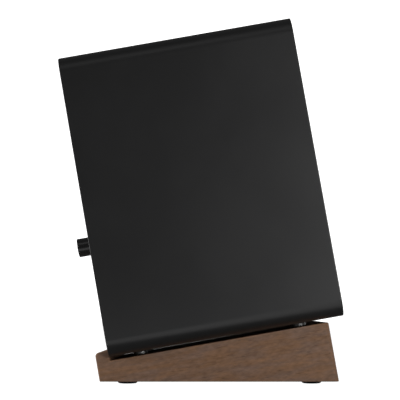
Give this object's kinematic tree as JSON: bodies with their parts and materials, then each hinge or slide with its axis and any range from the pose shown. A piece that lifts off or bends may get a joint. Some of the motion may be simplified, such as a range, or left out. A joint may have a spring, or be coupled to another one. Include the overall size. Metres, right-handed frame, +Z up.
{
  "type": "digital photo frame",
  "caption": "Deep desk photo frame: rounded black aluminium case tilted back on a walnut wedge, screen in front, rear knob, speaker slots and sockets.",
  "frame": {"origin": "centre of the footprint of the whole object, on the surface that its feet stand on", "axes": "+Z up, the screen faces -Y and is tilted 10 degrees upwards, the knob and the sockets face +Y, X runs across the width"},
  "size_m": [0.1422, 0.1714, 0.2205],
  "materials": {
    "case_aluminium": "fine bead-blasted, black anodised, satin",
    "panel_aluminium": "black anodised plate, matt",
    "knob_aluminium": "turned, black anodised, satin",
    "black_plastic": "fine moulded texture",
    "white_plastic": "smooth",
    "acrylic": "polished edge-lit sheet",
    "cover_glass": "clear, hard coated",
    "lcd_glass": "dark, satin polariser",
    "steel_sheet": "zinc plated sheet",
    "plated_steel": "bright nickel plated",
    "black_steel": "black oxide",
    "bare_aluminium": "extruded, clear",
    "circuit_board": "solder mask",
    "ribbon_film": "polyimide film",
    "foam": "closed-cell foam",
    "cone_paper": "pressed black paper",
    "walnut": "oiled walnut, open grain",
    "rubber": "matt black"
  },
  "bodies": {
    "case": {"audio_jack": "black_plastic", "backlight_tray": "steel_sheet", "base_foot_1": "rubber", "base_foot_2": "rubber", "base_foot_3": "rubber", "base_foot_4": "rubber", "base_screw_1": "black_steel", "base_screw_2": "black_steel", "base_screw_3": "black_steel", "base_screw_4": "black_steel", "base_spacer_1": "plated_steel", "base_spacer_2": "plated_steel", "base_spacer_3": "plated_steel", "base_spacer_4": "plated_steel", "board_screw_1": "plated_steel", "board_screw_2": "plated_steel", "board_screw_3": "plated_steel", "board_screw_4": "plated_steel", "card_socket": "plated_steel", "carrier_screw_1": "plated_steel", "carrier_screw_2": "plated_steel", "carrier_screw_3": "plated_steel", "carrier_screw_4": "plated_steel", "case_shell": "case_aluminium", "chassis_tray": "steel_sheet", "control_board": "circuit_board", "control_board_screw_1": "plated_steel", "control_board_screw_2": "plated_steel", "cover_glass": "cover_glass", "display_carrier": "steel_sheet", "display_pad_lower": "foam", "display_pad_upper": "foam", "display_ribbon": "ribbon_film", "encoder_body": "plated_steel", "front_bezel": "black_plastic", "heat_sink": "bare_aluminium", "lcd_panel": "lcd_glass", "light_guide": "acrylic", "main_board": "circuit_board", "power_jack": "black_plastic", "power_switch": "black_plastic", "processor": "black_plastic", "rear_panel": "panel_aluminium", "rear_panel_screw_1": "black_steel", "rear_panel_screw_2": "black_steel", "rear_panel_screw_3": "black_steel", "rear_panel_screw_4": "black_steel", "speaker_basket": "black_steel", "speaker_cone": "cone_paper", "speaker_magnet": "plated_steel", "speaker_screw_1": "plated_steel", "speaker_screw_2": "plated_steel", "speaker_screw_3": "plated_steel", "speaker_screw_4": "plated_steel", "usb_socket": "plated_steel", "walnut_base": "walnut"},
    "knob_plunger": {"encoder_plunger": "white_plastic"},
    "knob": {"encoder_shaft": "plated_steel", "knob": "knob_aluminium"},
    "power_button": {"power_button": "black_plastic"}
  },
  "joints": [
    {"name": "knob_press", "type": "slide", "parent": "case", "child": "knob_plunger", "axis": [0, -0.9848, 0.1736], "range_m": [0, 0.0006], "stiffness_N_per_m": 4000, "springref_m": -0.0003},
    {"name": "knob_turn", "type": "hinge", "parent": "knob_plunger", "child": "knob", "pos_m": [0, 0.0664, 0.0862], "axis": [0, 0.9848, -0.1736], "continuous": true},
    {"name": "power_press", "type": "slide", "parent": "case", "child": "power_button", "axis": [0, -0.9848, 0.1736], "range_m": [0, 0.0008], "stiffness_N_per_m": 2000, "springref_m": -0.0004}
  ]
}
